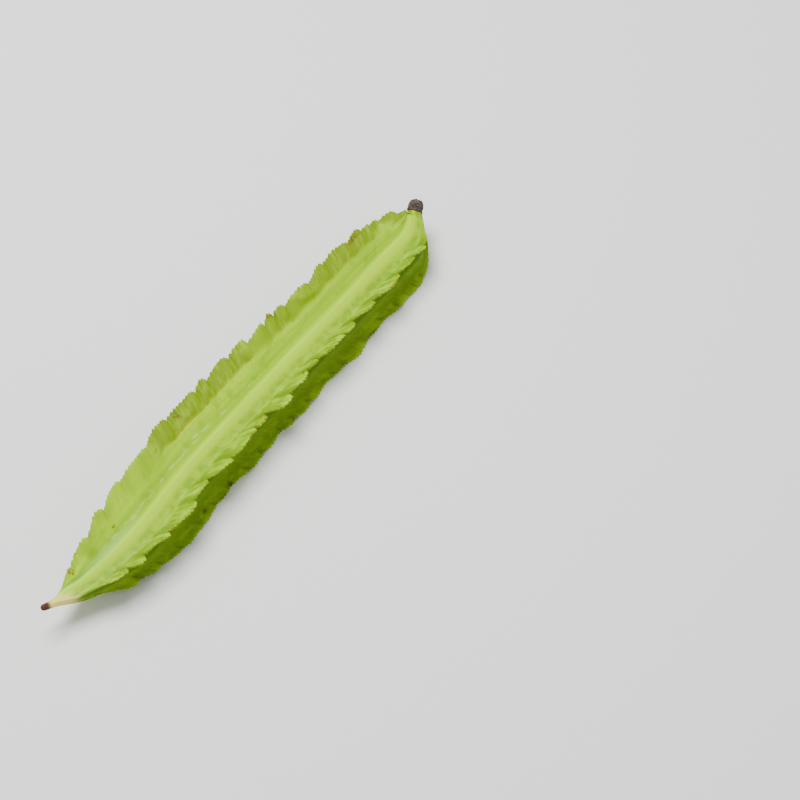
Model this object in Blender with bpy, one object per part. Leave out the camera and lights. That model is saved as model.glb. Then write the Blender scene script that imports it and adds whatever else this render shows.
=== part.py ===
"""Winged bean: one fresh four-winged pod, as picked, lying on its two lower wings.

Blender 4.5, metres, +Z up. The beak points along -X and the stem end along +X. The pod
is one closed loft. Its rails run from the beak to the neck: along the ridges, the
grooves beside them, both faces of the four wings and the creases of the flanks. Each
station crosses the pod at one tooth or one notch of the wings' margins. The dry calyx
is a knob of its own on the neck's end.
"""

import math
import random
from dataclasses import dataclass

import bmesh
import bpy
import numpy as np

# Lengths along the pod, from the beak's tip
POD_LENGTH = 0.1895
TEETH_START = 0.0098
TEETH_END = 0.1850
TEETH = 65
TOOTH_PEAK = 0.72
BEAK_STATIONS = (0.00025, 0.0009, 0.0024, 0.0048, 0.0074)
NECK_STATIONS = (0.0034, 0.0022, 0.0010, 0.0003, 0.0)

# The body between the wings
BEAK_RADIUS = 0.00115
NECK_RADIUS = 0.0025
RIDGE_HEIGHT = 0.0044
GROOVE_OUT = 0.0026
GROOVE_HEIGHT = 0.0037
CREASE_OUT = 0.0047
ROOT_OUT = 0.0049
ROOT_HEIGHT = 0.0028
BEAK_TAPER = (0.042, 1.8)
NECK_TAPER = (0.013, 2.0)
BEAK_ROUND = (0.0042, 0.0112)
NECK_ROUND = (0.0003, 0.0024)
BEAK_SWELL = (0.0010, 0.0120, 0.9)
NECK_EDGE = (0.0004, 0.12)

# The wings' blades
BLADE_FLARE = 0.0013
ROOT_THICKNESS = 0.0030
MARGIN_THICKNESS = 0.0010
WING_FIRST = 0.0030
WING_RISE_POWER = 1.5
WING_FALL_POWER = 2.6
WING_FALL_ROUNDING = 0.62
NARROWING_SPAN = (0.066, 0.170)
SHORTEST_BLADE = 1.15
GROWN_LENGTH = 0.0032
THIN_LENGTH = 0.0040
THINNEST = 0.25
BLADE_STEPS = (0.30, 0.62, 0.86, 1.0)
LEAN = 0.0050
LEAN_POWER = 1.5
LEAN_START = (0.006, 0.034)
LEAN_END = (0.003, 0.030)

# The cut of the margins, the waves of the wings, and the left upper wing's folded margin
TOOTH_JITTER = 0.20
LOBE_TEETH = (2, 3, 4, 4, 5)
LOBE_FALL = 1.0
LOBE_SLANT = 0.40
LOBE_LIFT = 0.0011
RUFFLES = ((0.0270, 0.0007), (0.0115, 0.0003))
FOLD_SPANS = ((0.066, 0.106), (0.152, 0.180))
FOLD_EASE = 0.008
FOLD_START = 0.55
FOLD_DEPTH = 0.0022
CURL_START = 0.35

# How the pod lies: its turned ends, its sway, and the lobes that it rests on
BEAK_TURN = (0.0034, 0.0044)
NECK_TURN = (0.0044, 0.0054)
BEAK_TURN_SPAN = 0.023
NECK_TURN_SPAN = 0.0115
TURN_POWER = 2.0
SWAY = -0.0029
SWAY_PLACE = 0.038
SWAY_SPREAD = 0.021
STEM_DRIFT = 0.0006
REST_DROP = 0.0091
REST_PLACES = (0.052, 0.138)
REST_REACH = 0.0009
REST_SPAN = 0.0045

# The dry calyx: distance from its seat and radius, ring by ring
CALYX_GAP = 0.0003
CALYX_PROFILE = (
    (0.0000, 0.0022),
    (0.0004, 0.0025),
    (0.0014, 0.0026),
    (0.0024, 0.0025),
    (0.0033, 0.0020),
    (0.0038, 0.0012),
)
CALYX_TOP = 0.0039
CALYX_SIDES = 20
CALYX_LOBES = 5
CALYX_LOBE_DEPTH = 0.09

SHARPEST_SHADED = math.radians(50.0)
POD_COLOUR = (0.430, 0.620, 0.030, 1.0)
POD_ROUGHNESS = 0.42
CALYX_COLOUR = (0.090, 0.052, 0.042, 1.0)
CALYX_ROUGHNESS = 0.85


@dataclass(frozen=True)
class Wing:
    """One wing: where it stands, how far it reaches and how its margin is cut.

    side is +1 at +Y, level +1 for an upper wing. out and height are the full margin's
    distances from the centre line. start and end are the lengths over which the wing
    grows from the beak and rounds off at the neck, and narrowing is the part of its
    reach that it loses towards the stem. curl is how far the margin bends over to the
    flank, and droop how far its teeth and lobes turn that way, in degrees. teeth and lobes
    are the least and greatest heights in the margin.
    """

    side: int
    level: int
    out: float
    height: float
    start: float
    end: float
    narrowing: float
    curl: float
    droop: float
    teeth: tuple
    lobes: tuple
    seed: int
    phase: float
    folds: tuple = ()


LEFT_UPPER = Wing(
    1, 1, 0.0133, 0.0104, 0.043, 0.034, 0.11, 0.0, 0.0, (0.0006, 0.0014), (0.0012, 0.0024), 11,
    0.4, FOLD_SPANS,
)
LEFT_LOWER = Wing(
    1, -1, 0.0111, 0.0086, 0.048, 0.020, 0.06, 0.0, 0.0, (0.0006, 0.0013), (0.0009, 0.0021), 23,
    2.1,
)
RIGHT_LOWER = Wing(
    -1, -1, 0.0099, 0.0085, 0.050, 0.017, 0.06, 0.0, 0.0, (0.0006, 0.0013), (0.0009, 0.0021), 37,
    3.6,
)
RIGHT_UPPER = Wing(
    -1, 1, 0.0071, 0.0078, 0.046, 0.020, 0.28, 0.0012, 50.0, (0.0006, 0.0012), (0.0022, 0.0038),
    53, 5.2,
)


def ramp(value, start, end):
    """0 before start, 1 after end, and a smooth rise between them."""
    part = np.clip((value - start) / (end - start), 0.0, 1.0)
    return part * part * (3.0 - 2.0 * part)


def ease_out(distance, span, power):
    """0 at no distance and 1 from the span on, steep first and level last."""
    return 1.0 - np.clip(1.0 - distance / span, 0.0, 1.0) ** power


def spine(s):
    """Sideways and upward offset of the centre line at s from the beak's tip."""
    beak = np.clip(1.0 - s / BEAK_TURN_SPAN, 0.0, 1.0) ** TURN_POWER
    neck = np.clip(1.0 - (POD_LENGTH - s) / NECK_TURN_SPAN, 0.0, 1.0) ** TURN_POWER
    sway = SWAY * np.exp(-(((s - SWAY_PLACE) / SWAY_SPREAD) ** 2)) + STEM_DRIFT * s / POD_LENGTH
    side = sway + BEAK_TURN[0] * beak + NECK_TURN[0] * neck
    up = BEAK_TURN[1] * beak + NECK_TURN[1] * neck
    return side, up


def frame(s):
    """The centre line's points at s, with its direction, its side and its up vectors.

    Only the round beak and neck turn with the line. The winged sections stay upright.
    """
    step = 1.0e-5
    side, up = spine(s)
    centre = np.stack([s, side, up], axis=-1)
    side_ahead, up_ahead = spine(s + step)
    side_behind, up_behind = spine(s - step)
    ahead = np.stack(
        [np.full_like(s, 2.0 * step), side_ahead - side_behind, up_ahead - up_behind], axis=-1
    )
    turned = roundness(s)[:, None]
    ahead = (1.0 - turned) * [1.0, 0.0, 0.0] + turned * ahead / (2.0 * step)
    ahead /= np.linalg.norm(ahead, axis=-1, keepdims=True)
    across = np.cross([0.0, 0.0, 1.0], ahead)
    across /= np.linalg.norm(across, axis=-1, keepdims=True)
    return centre, ahead, across, np.cross(ahead, across)


def body_scale(s):
    """Size of the body's section, from the beak's and the neck's taper."""
    beak = BEAK_RADIUS / RIDGE_HEIGHT
    neck = NECK_RADIUS / RIDGE_HEIGHT
    from_beak = beak + (1.0 - beak) * ease_out(s, *BEAK_TAPER)
    from_neck = neck + (1.0 - neck) * ease_out(POD_LENGTH - s, *NECK_TAPER)
    return from_beak * from_neck


def wing_scale(wing, s):
    """Reach of a wing, from its rise off the beak and its rounded end at the neck."""
    rise = ease_out(np.maximum(s - WING_FIRST, 0.0), wing.start, WING_RISE_POWER)
    fall = ease_out(POD_LENGTH - s, wing.end, WING_FALL_POWER) ** WING_FALL_ROUNDING
    return rise * fall * (1.0 - wing.narrowing * ramp(s, *NARROWING_SPAN))


def roundness(s):
    """How far the section has turned into the round beak or neck: 1 is a circle."""
    beak = 1.0 - ramp(s, *BEAK_ROUND)
    neck = 1.0 - ramp(POD_LENGTH - s, *NECK_ROUND)
    return np.maximum(beak, neck)


def round_radius(s):
    """Radius of the round beak and neck, domed at the tip and eased at the seat."""
    dome = np.sqrt(1.0 - np.clip(1.0 - s / BEAK_RADIUS, 0.0, 1.0) ** 2)
    swell_start, swell_end, swell = BEAK_SWELL
    beak = BEAK_RADIUS * dome * (1.0 + swell * ramp(s, swell_start, swell_end))
    edge, inset = NECK_EDGE
    neck = NECK_RADIUS * (1.0 - inset * np.clip(1.0 - (POD_LENGTH - s) / edge, 0.0, 1.0))
    return np.where(s < 0.5 * POD_LENGTH, beak, neck)


class Margin:
    """The toothed and lobed margin of one wing, drawn from the wing's seed."""

    def __init__(self, wing):
        draw = random.Random(wing.seed)
        self.jitter = [0.0]
        self.jitter += [draw.uniform(-TOOTH_JITTER, TOOTH_JITTER) for _ in range(TEETH - 1)]
        self.jitter += [0.0]
        self.heights = np.array([draw.uniform(*wing.teeth) for _ in range(TEETH + 1)])
        starts = [0]
        while starts[-1] < TEETH:
            starts.append(starts[-1] + draw.choice(LOBE_TEETH))
        self.lobe_starts = np.array(starts)
        self.lobe_heights = np.array([draw.uniform(*wing.lobes) for _ in starts])

    def shift(self, count):
        """How far teeth and lobes are drawn along, at a running count of teeth."""
        pitch = (TEETH_END - TEETH_START) / TEETH
        jitter = pitch * np.interp(count, np.arange(TEETH + 1), self.jitter)
        return jitter + LOBE_SLANT * self.lobe_reach(count)

    def lobe(self, count):
        """Index of the lobe at a running count of teeth, and how far it has risen.

        A lobe rises from 0 to 1 at the start of its last tooth and falls along that tooth.
        """
        index = np.searchsorted(self.lobe_starts, count, side="right") - 1
        index = np.clip(index, 0, len(self.lobe_starts) - 2)
        start, end = self.lobe_starts[index], self.lobe_starts[index + 1]
        peak = end - LOBE_FALL
        return index, np.minimum((count - start) / (peak - start), (end - count) / (end - peak))

    def lobe_reach(self, count):
        """How far the lobes stand out beyond a plain edge. They end with the teeth."""
        index, risen = self.lobe(count)
        height = self.lobe_heights[index] * np.clip(TEETH - count, 0.0, 1.0)
        return height * np.sin(0.5 * math.pi * np.clip(risen, 0.0, 1.0))

    def reach(self, count):
        """How far the margin stands out beyond a plain edge."""
        tooth = np.clip(np.floor(count).astype(int), 0, TEETH)
        part = count - tooth
        rising = np.sin(0.5 * math.pi * np.clip(part / TOOTH_PEAK, 0.0, 1.0))
        falling = np.clip((1.0 - part) / (1.0 - TOOTH_PEAK), 0.0, 1.0)
        return self.heights[tooth] * np.minimum(rising, falling) + self.lobe_reach(count)

    def lift(self, count):
        """How far each lobe's stem corner lies over the next lobe's start."""
        _, risen = self.lobe(count)
        return LOBE_LIFT * (np.clip(risen, 0.0, 1.0) - 0.5)


def folded(wing, s):
    """1 where a wing's margin is folded back, 0 elsewhere."""
    amount = np.zeros_like(s)
    for first, last in wing.folds:
        opening = ramp(s, first - FOLD_EASE, first)
        amount += opening * (1.0 - ramp(s, last, last + FOLD_EASE))
    return amount


def blade(wing, margin, s, count, q, face):
    """One rail on a wing's blade.

    q runs from 0 at the root to 1 at the margin. face is +1 on the broad face, which
    looks up or down, and -1 on the flank. Returns the rail's s, side and up values.
    """
    lean = LEAN * ramp(s, *LEAN_START) * ramp(POD_LENGTH - s, *LEAN_END)
    drawn = lean + margin.shift(count)
    at_margin = s + drawn
    at_rail = s + drawn * q ** LEAN_POWER

    root = np.array([ROOT_OUT, ROOT_HEIGHT]) * body_scale(s)[:, None]
    tip = np.array([wing.out, wing.height]) * wing_scale(wing, at_margin)[:, None]
    tip = np.maximum(tip, SHORTEST_BLADE * root)
    chord = tip - root
    length = np.linalg.norm(chord, axis=1)
    along = chord / length[:, None]
    normal = np.stack([-along[:, 1], along[:, 0]], axis=1)

    grown = np.clip(length / GROWN_LENGTH, 0.0, 1.0)
    extra = margin.reach(count)
    if wing.level < 0:
        for place in REST_PLACES:
            extra = extra + REST_REACH * np.exp(-(((at_margin - place) / REST_SPAN) ** 2))
    extra = extra * q * q * grown
    turn = math.radians(wing.droop)
    outward = along * math.cos(turn) - normal * math.sin(turn)
    across = along * math.sin(turn * q) + normal * math.cos(turn * q)
    flare = 4.0 * BLADE_FLARE * grown * q * (1.0 - q)
    wave = sum(
        depth * np.sin(2.0 * math.pi * at_rail / pitch + wing.phase) for pitch, depth in RUFFLES
    )
    past_fold = max(q - FOLD_START, 0.0) / (1.0 - FOLD_START)
    fold = FOLD_DEPTH * past_fold * past_fold * folded(wing, at_rail)
    past_curl = max(q - CURL_START, 0.0) / (1.0 - CURL_START)
    curl = wing.curl * past_curl * past_curl
    bend = grown * (q * q * wave + q ** 3 * margin.lift(count) - fold - curl)

    half = 0.5 * (MARGIN_THICKNESS + (ROOT_THICKNESS - MARGIN_THICKNESS) * (1.0 - q) ** 2)
    half = half * np.clip(length / THIN_LENGTH, THINNEST, 1.0)
    place = root + q * chord + outward * extra[:, None]
    place += normal * (flare + bend)[:, None] + face * across * half[:, None]
    return at_rail, wing.side * place[:, 0], wing.level * place[:, 1]


def section_rails(s, count):
    """All rails in order round the section, each as its s, side and up values."""
    scale = body_scale(s)
    still = np.zeros_like(s)

    def groove(side, level):
        return s, side * GROOVE_OUT * scale, level * GROOVE_HEIGHT * scale

    def faces(wing, first_face):
        margin = Margin(wing)
        going = [blade(wing, margin, s, count, q, first_face) for q in BLADE_STEPS]
        coming = [blade(wing, margin, s, count, q, -first_face) for q in BLADE_STEPS[::-1]]
        return going + coming

    return [
        (s, still, RIDGE_HEIGHT * scale),
        groove(1, 1),
        *faces(LEFT_UPPER, 1),
        (s, CREASE_OUT * scale, still),
        *faces(LEFT_LOWER, -1),
        groove(1, -1),
        (s, still, -RIDGE_HEIGHT * scale),
        groove(-1, -1),
        *faces(RIGHT_LOWER, 1),
        (s, -CREASE_OUT * scale, still),
        *faces(RIGHT_UPPER, -1),
        groove(-1, 1),
    ]


def press_on_table(points):
    """Bend the lower wings up where they would pass below the table.

    Both faces of a blade rise by what the lower one needs, so it keeps its thickness.
    """
    steps = len(BLADE_STEPS)
    quarter = points.shape[0] // 4
    left_lower, right_lower = quarter + 1, 2 * quarter + 2
    for start in (left_lower, right_lower):
        for step in range(steps):
            pair = [start + step, start + 2 * steps - 1 - step]
            short = np.maximum(-REST_DROP - points[pair, :, 2].min(axis=0), 0.0)
            points[pair, :, 2] += short


def pod_points():
    """The loft's points: one row for each rail and one column for each station."""
    pitch = (TEETH_END - TEETH_START) / TEETH
    counts = [tooth + part for tooth in range(TEETH) for part in (0.0, TOOTH_PEAK)] + [TEETH]
    toothed = [TEETH_START + pitch * count for count in counts]
    s = np.array([*BEAK_STATIONS, *toothed, *(POD_LENGTH - gap for gap in NECK_STATIONS)])
    count = np.clip((s - TEETH_START) / pitch, 0.0, TEETH)

    rails = section_rails(s, count)
    rows = []
    for index, (at, side, up) in enumerate(rails):
        angle = 0.5 * math.pi - 2.0 * math.pi * index / len(rails)
        turned = roundness(at)
        radius = round_radius(at)
        side = (1.0 - turned) * side + turned * radius * math.cos(angle)
        up = (1.0 - turned) * up + turned * radius * math.sin(angle)
        centre, _, across, above = frame(at)
        rows.append(centre + across * side[:, None] + above * up[:, None])
    points = np.stack(rows)
    press_on_table(points)
    return points


def rail_turns(count):
    """For each strip between two rails, whether its quads split the other way.

    Both faces of a blade are split alike, so the split turns over at each margin.
    """
    quarter = count // 4
    return [(index // quarter) % 2 == (1 if index % quarter < quarter // 2 else 0)
            for index in range(count)]


def loft(name, points, first_cap, last_cap, material):
    """A closed mesh over rows of points, with a fan from a middle point at each end."""
    rails, stations, _ = points.shape
    mesh = bmesh.new()
    grid = [[mesh.verts.new(point) for point in row] for row in points]
    turns = rail_turns(rails)
    for rail in range(rails):
        here = grid[rail]
        beside = grid[(rail + 1) % rails]
        for station in range(stations - 1):
            a, b = here[station], here[station + 1]
            c, d = beside[station + 1], beside[station]
            if turns[rail]:
                mesh.faces.new((a, b, d))
                mesh.faces.new((b, c, d))
            else:
                mesh.faces.new((a, b, c))
                mesh.faces.new((a, c, d))
    for middle, station in ((first_cap, 0), (last_cap, stations - 1)):
        hub = mesh.verts.new(middle)
        for rail in range(rails):
            mesh.faces.new((hub, grid[rail][station], grid[(rail + 1) % rails][station]))
    bmesh.ops.recalc_face_normals(mesh, faces=mesh.faces)

    data = bpy.data.meshes.new(name)
    mesh.to_mesh(data)
    mesh.free()
    data.shade_smooth()
    data.set_sharp_from_angle(angle=SHARPEST_SHADED)
    data.materials.append(material)
    return bpy.data.objects.new(name, data)


def calyx_points():
    """Rows of points of the calyx, and the middles of its seat and of its top."""
    centre, ahead, across, above = (value[0] for value in frame(np.array([POD_LENGTH])))
    rows = []
    for index in range(CALYX_SIDES):
        angle = 2.0 * math.pi * index / CALYX_SIDES
        outward = across * math.cos(angle) + above * math.sin(angle)
        row = []
        for along, radius in CALYX_PROFILE:
            swell = CALYX_LOBE_DEPTH * math.sin(math.pi * along / CALYX_TOP)
            lobed = radius * (1.0 + swell * math.cos(CALYX_LOBES * angle))
            row.append(centre + ahead * (CALYX_GAP + along) + outward * lobed)
        rows.append(row)
    seat = centre + ahead * CALYX_GAP
    return np.array(rows), seat, centre + ahead * (CALYX_GAP + CALYX_TOP)


def plain_material(name, colour, roughness):
    """A Principled material of one colour."""
    material = bpy.data.materials.new(name)
    material.use_nodes = True
    shader = material.node_tree.nodes["Principled BSDF"]
    shader.inputs["Base Color"].default_value = colour
    shader.inputs["Roughness"].default_value = roughness
    shader.inputs["Metallic"].default_value = 0.0
    return material


def main():
    """Make the pod and its calyx, centred over the place where they rest."""
    for old in list(bpy.data.objects):
        bpy.data.objects.remove(old, do_unlink=True)
    collection = bpy.data.collections.new("winged_bean")
    bpy.context.scene.collection.children.link(collection)

    pod = pod_points()
    calyx, seat, top = calyx_points()
    tip = frame(np.array([0.0]))[0][0]
    end = frame(np.array([POD_LENGTH]))[0][0]
    everything = np.concatenate([pod.reshape(-1, 3), calyx.reshape(-1, 3), [tip, top]])
    low, high = everything.min(axis=0), everything.max(axis=0)
    home = np.array([0.5 * (low[0] + high[0]), 0.5 * (low[1] + high[1]), low[2]])

    green = plain_material("pod_green", POD_COLOUR, POD_ROUGHNESS)
    brown = plain_material("dry_calyx", CALYX_COLOUR, CALYX_ROUGHNESS)
    collection.objects.link(loft("pod", pod - home, tip - home, end - home, green))
    collection.objects.link(loft("calyx", calyx - home, seat - home, top - home, brown))


main()
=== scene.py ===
"""Winged bean: one fresh pod with its dry calyx, on a plain pale floor.

The pod's skin repeats the frame's loft on a finer net: ridges, grooves, both faces of the
four toothed wings, the flanks' creases, the beak and the neck. A Geometry Nodes tree lays
the fine pleats over the wings and notches the margins. A second tree sets the shreds of
dry tissue on the calyx. The skin's colour is a table of layers, each masked by values that
the skin carries and by noises. Lengths are metres, +X runs from the beak to the stem end,
+Z up.
"""

import logging
import math
import random
from dataclasses import dataclass, field
from enum import Enum

import bpy
import numpy as np
from mathutils import Matrix


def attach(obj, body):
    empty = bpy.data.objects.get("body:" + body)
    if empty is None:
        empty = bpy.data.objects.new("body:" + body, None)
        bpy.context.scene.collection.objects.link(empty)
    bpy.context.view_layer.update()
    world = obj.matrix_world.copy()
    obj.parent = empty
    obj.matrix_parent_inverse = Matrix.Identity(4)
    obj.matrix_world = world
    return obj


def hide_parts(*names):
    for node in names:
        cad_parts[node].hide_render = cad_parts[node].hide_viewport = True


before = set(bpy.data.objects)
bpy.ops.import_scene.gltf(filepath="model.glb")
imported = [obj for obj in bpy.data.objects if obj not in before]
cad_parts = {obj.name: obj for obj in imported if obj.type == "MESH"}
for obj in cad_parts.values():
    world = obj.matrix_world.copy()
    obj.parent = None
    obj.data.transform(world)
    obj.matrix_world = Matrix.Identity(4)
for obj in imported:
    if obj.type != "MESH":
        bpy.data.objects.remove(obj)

LOG = logging.getLogger("winged_bean")
QUARTER = 10.0  # places round a quarter of the section, from a ridge to a crease
Colour = tuple[float, float, float, float]


def ramp(value: np.ndarray | float, start: float, end: float) -> np.ndarray:
    """Smooth rise from 0 at start to 1 at end."""
    part = np.clip((value - start) / (end - start), 0.0, 1.0)
    return part * part * (3.0 - 2.0 * part)


def ease_out(distance: np.ndarray, span: float, power: float) -> np.ndarray:
    """Rise from 0 to 1 along a span, steep first and level last."""
    return 1.0 - np.clip(1.0 - distance / span, 0.0, 1.0) ** power


class Side(Enum):
    """Side of the pod that a wing stands on."""

    LEFT = 1
    RIGHT = -1


class Level(Enum):
    """Whether a wing looks up or rests on the floor."""

    UPPER = 1
    LOWER = -1


class Face(Enum):
    """Face of a blade: broad ones look up or down, flanks look at the next blade."""

    BROAD = 0.0
    FLANK = 1.0


@dataclass(frozen=True)
class Wing:
    """One wing: where it stands, how far it reaches and how its margin is cut.

    out and height are its margin's place at full size. It rises over start from the beak
    and falls over end to the neck. folds are the stretches of a folded margin.
    """

    name: str
    side: Side
    level: Level
    out: float
    height: float
    start: float
    end: float
    narrowing: float
    curl: float
    droop: float
    flare: float
    teeth: tuple[float, float]
    lobes: tuple[float, float]
    seed: int
    phase: float
    folds: tuple[tuple[float, float], ...] = ()
    pleats: float = 1.0


@dataclass(frozen=True)
class Mark:
    """One brown spot or browned edge on a wing, or one patch of painted shade.

    along and out are its middle: metres from the beak's tip, and 1 to 2 from a blade's
    root to its margin. long and wide are its half sizes in the same measures.
    """

    wing: str
    along: float
    out: float
    long: float
    wide: float
    strength: float


@dataclass(frozen=True)
class PodForm:
    """Measures of the pod.

    They are the frame's, but for the crenels, which cut each of its teeth into small ones,
    and for lean_power and lobe_lift_power, which draw the lines of the blades straighter.
    """

    length: float = 0.1895
    teeth_start: float = 0.0098
    teeth_end: float = 0.1850
    teeth: int = 65
    crenels: int = 2
    crenel_peak: float = 0.75
    crenel_base: float = 0.24
    crenel_depth: float = 0.72
    crenel_spread: tuple[float, float] = (0.45, 1.05)
    beak_radius: float = 0.00115
    neck_radius: float = 0.0025
    ridge_height: float = 0.0044
    groove_out: float = 0.0026
    groove_height: float = 0.0037
    crease_out: float = 0.0047
    root_out: float = 0.0049
    root_height: float = 0.0028
    beak_taper: tuple[float, float] = (0.042, 1.8)
    neck_taper: tuple[float, float] = (0.013, 2.0)
    beak_round: tuple[float, float] = (0.0042, 0.0112)
    neck_round: tuple[float, float] = (0.0003, 0.0024)
    beak_swell: tuple[float, float, float] = (0.0010, 0.0120, 0.9)
    neck_edge: tuple[float, float] = (0.0004, 0.12)
    root_thickness: float = 0.0030
    margin_thickness: float = 0.0010
    wing_first: float = 0.0030
    wing_rise_power: float = 1.5
    wing_fall_power: float = 2.6
    wing_fall_rounding: float = 0.62
    narrowing_span: tuple[float, float] = (0.066, 0.170)
    shortest_blade: float = 1.15
    grown_length: float = 0.0032
    thin_length: float = 0.0040
    thinnest: float = 0.25
    lean: float = 0.0050
    lean_power: float = 1.0
    lean_start: tuple[float, float] = (0.006, 0.034)
    lean_end: tuple[float, float] = (0.003, 0.030)
    tooth_jitter: float = 0.20
    lobe_teeth: tuple[int, ...] = (2, 3, 4, 4, 5)
    lobe_fall: float = 1.0
    lobe_slant: float = 0.40
    lobe_lift: float = 0.0011
    lobe_lift_power: float = 5.0
    ruffles: tuple[tuple[float, float], ...] = ((0.0270, 0.0007), (0.0115, 0.0003))
    fold_ease: float = 0.008
    fold_start: float = 0.55
    fold_depth: float = 0.0022
    curl_start: float = 0.35
    beak_turn: tuple[float, float] = (0.0034, 0.0044)
    neck_turn: tuple[float, float] = (0.0044, 0.0054)
    beak_turn_span: float = 0.023
    neck_turn_span: float = 0.0115
    turn_power: float = 2.0
    sway: float = -0.0029
    sway_place: float = 0.038
    sway_spread: float = 0.021
    stem_drift: float = 0.0006
    rest_drop: float = 0.0091
    rest_places: tuple[float, ...] = (0.052, 0.138)
    rest_reach: float = 0.0009
    rest_span: float = 0.0045
    home: tuple[float, float, float] = (0.0967889, 0.0016889, -0.0091)


WINGS = (
    Wing(
        name="left_upper", side=Side.LEFT, level=Level.UPPER, out=0.0133, height=0.0104,
        start=0.043, end=0.034, narrowing=0.11, curl=0.0, droop=0.0, flare=0.0013,
        teeth=(0.0006, 0.0014), lobes=(0.0012, 0.0024), seed=11, phase=0.4,
        folds=((0.066, 0.106), (0.152, 0.180)), pleats=0.45,
    ),
    Wing(
        name="left_lower", side=Side.LEFT, level=Level.LOWER, out=0.0111, height=0.0086,
        start=0.048, end=0.020, narrowing=0.06, curl=0.0, droop=0.0, flare=0.0013,
        teeth=(0.0006, 0.0013), lobes=(0.0009, 0.0021), seed=23, phase=2.1, pleats=0.8,
    ),
    Wing(
        name="right_lower", side=Side.RIGHT, level=Level.LOWER, out=0.0099, height=0.0085,
        start=0.050, end=0.017, narrowing=0.06, curl=0.0, droop=0.0, flare=0.0013,
        teeth=(0.0006, 0.0013), lobes=(0.0009, 0.0021), seed=37, phase=3.6, pleats=0.8,
    ),
    Wing(
        name="right_upper", side=Side.RIGHT, level=Level.UPPER, out=0.0071, height=0.0078,
        start=0.046, end=0.020, narrowing=0.28, curl=0.0012, droop=50.0, flare=-0.0004,
        teeth=(0.0006, 0.0012), lobes=(0.0022, 0.0038), seed=53, phase=5.2,
    ),
)

MARKS = (
    Mark("left_upper", 0.0345, 1.42, 0.0009, 0.06, 0.9),
    Mark("right_upper", 0.0255, 1.10, 0.0007, 0.05, 0.7),
    Mark("right_upper", 0.0340, 1.25, 0.0009, 0.06, 0.8),
    Mark("left_upper", 0.0150, 1.80, 0.0012, 0.30, 1.0),
    Mark("right_upper", 0.0950, 1.97, 0.0026, 0.07, 0.9),
    Mark("right_upper", 0.1610, 1.96, 0.0030, 0.08, 0.9),
    Mark("left_upper", 0.0625, 1.74, 0.0010, 0.06, 0.8),
    Mark("left_upper", 0.0765, 1.88, 0.0012, 0.14, 0.9),
    Mark("left_upper", 0.1235, 1.95, 0.0022, 0.06, 0.7),
    Mark("left_upper", 0.1660, 1.93, 0.0040, 0.08, 0.8),
    Mark("right_lower", 0.0700, 1.95, 0.0026, 0.06, 0.7),
    Mark("right_lower", 0.1490, 1.94, 0.0030, 0.07, 0.7),
    Mark("left_lower", 0.1130, 1.95, 0.0028, 0.06, 0.7),
    Mark("left_lower", 0.0420, 1.60, 0.0010, 0.06, 0.7),
    Mark("right_upper", 0.0865, 1.97, 0.0014, 0.06, 0.8),
    Mark("right_upper", 0.1160, 1.80, 0.0020, 0.12, 0.6),
    Mark("right_upper", 0.1270, 1.96, 0.0012, 0.07, 0.8),
    Mark("right_lower", 0.0618, 1.72, 0.0014, 0.12, 0.8),
    Mark("right_lower", 0.0750, 1.86, 0.0010, 0.16, 0.9),
)

# Patches of painted shade: the curled lobe near the beak and the shade between lobes
SHADES = (
    Mark("left_upper", 0.0238, 1.50, 0.0026, 0.40, 0.85),
    Mark("left_upper", 0.0560, 1.75, 0.0030, 0.20, 0.45),
    Mark("left_upper", 0.1320, 1.70, 0.0024, 0.24, 0.50),
    Mark("left_upper", 0.1430, 1.75, 0.0020, 0.22, 0.45),
    Mark("right_upper", 0.0300, 1.45, 0.0022, 0.22, 0.60),
    Mark("right_upper", 0.0900, 1.35, 0.0030, 0.20, 0.60),
    Mark("right_upper", 0.1130, 1.40, 0.0030, 0.22, 0.65),
)


@dataclass
class Rail:
    """One line of the skin from the beak to the neck.

    along, side and up are its points before the centre line bends them. out is 0 on a
    ridge or crease, 0.5 in a groove and 1 to 2 on a blade. normal and outward are the
    blade's own directions across the section, alike on both of its faces. far is the
    distance from the blade's root, and risen how far the margin's lobe has risen.
    """

    along: np.ndarray
    side: np.ndarray
    up: np.ndarray
    turn: float
    out: float
    face: float
    wing: int
    normal: np.ndarray
    outward: np.ndarray
    fold: np.ndarray
    far: np.ndarray
    risen: np.ndarray


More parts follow.
